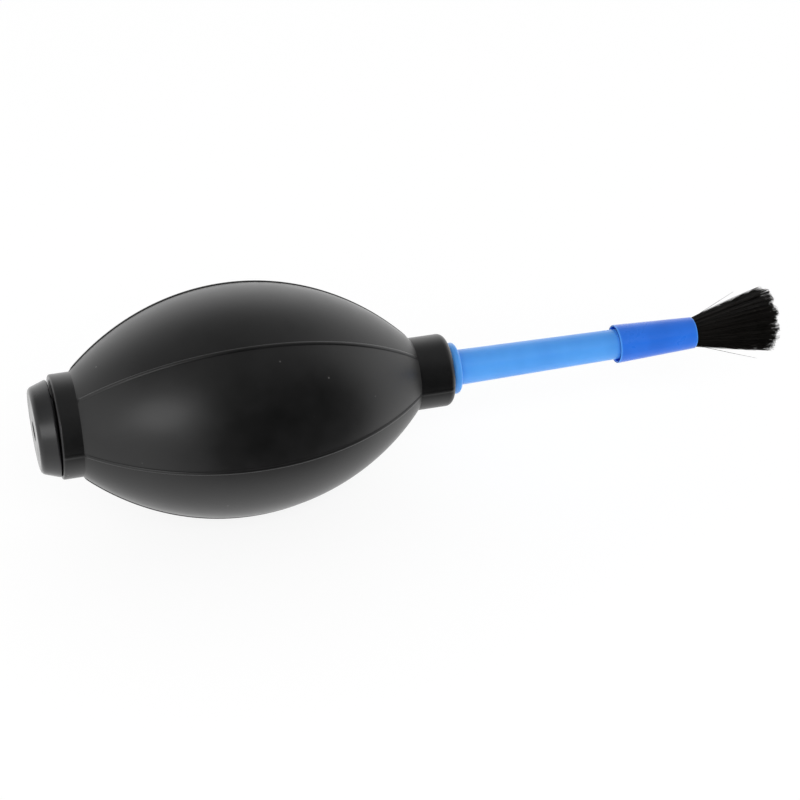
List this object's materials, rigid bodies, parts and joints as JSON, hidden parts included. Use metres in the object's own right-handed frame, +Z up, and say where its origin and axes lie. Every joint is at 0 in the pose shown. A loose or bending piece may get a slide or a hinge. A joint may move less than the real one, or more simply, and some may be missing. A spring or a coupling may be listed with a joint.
{
  "type": "dust blower bulb",
  "caption": "Hand-squeezed rubber dust blower with panelled bulb, rear intake cap and valve, tapered blue nozzle and a push-on bristle brush.",
  "frame": {"origin": "middle of the object's box, on the surface that it lies on", "axes": "+X along the blower's axis towards the brush, +Z up, with the bulb's lowest panel resting on the surface"},
  "size_m": [0.1664, 0.0498, 0.0488],
  "materials": {
    "bulb_rubber": "satin",
    "cap_plastic": "satin",
    "valve_plastic": "satin",
    "valve_rubber": "matte",
    "nozzle_plastic": "satin",
    "ferrule_plastic": "gloss",
    "air_tube_plastic": "satin",
    "bristle_cement": "satin",
    "bristle_hair": "satin"
  },
  "bodies": {
    "bulb": {"rear_collar": "bulb_rubber", "neck_collar": "bulb_rubber", "belly_panel": "bulb_rubber", "near_low_panel": "bulb_rubber", "near_high_panel": "bulb_rubber", "top_panel": "bulb_rubber", "far_high_panel": "bulb_rubber", "far_low_panel": "bulb_rubber", "seam_beads": "bulb_rubber", "intake_cap": "cap_plastic", "valve_seat": "valve_plastic", "valve_cage": "valve_plastic"},
    "squeeze_wall": {"squeeze_panel": "bulb_rubber"},
    "valve": {"valve_disc": "valve_rubber"},
    "nozzle": {"nozzle": "nozzle_plastic"},
    "brush": {"brush_ferrule": "ferrule_plastic", "brush_air_tube": "air_tube_plastic", "bristle_glue": "bristle_cement", "bristle_tuft": "bristle_hair"}
  },
  "joints": [
    {"name": "squeeze", "type": "slide", "parent": "bulb", "child": "squeeze_wall", "axis": [0, 0.0698, -0.9976], "range_m": [0, 0.008], "stiffness_N_per_m": 900},
    {"name": "valve_lift", "type": "slide", "parent": "bulb", "child": "valve", "axis": [1, 0, 0], "range_m": [0, 0.0008], "stiffness_N_per_m": 20},
    {"name": "nozzle_turn", "type": "hinge", "parent": "bulb", "child": "nozzle", "pos_m": [0.0093, 0, 0.0243], "axis": [1, 0, 0], "continuous": true},
    {"name": "brush_pull", "type": "slide", "parent": "nozzle", "child": "brush", "axis": [1, 0, 0], "range_m": [0, 0.03]}
  ]
}
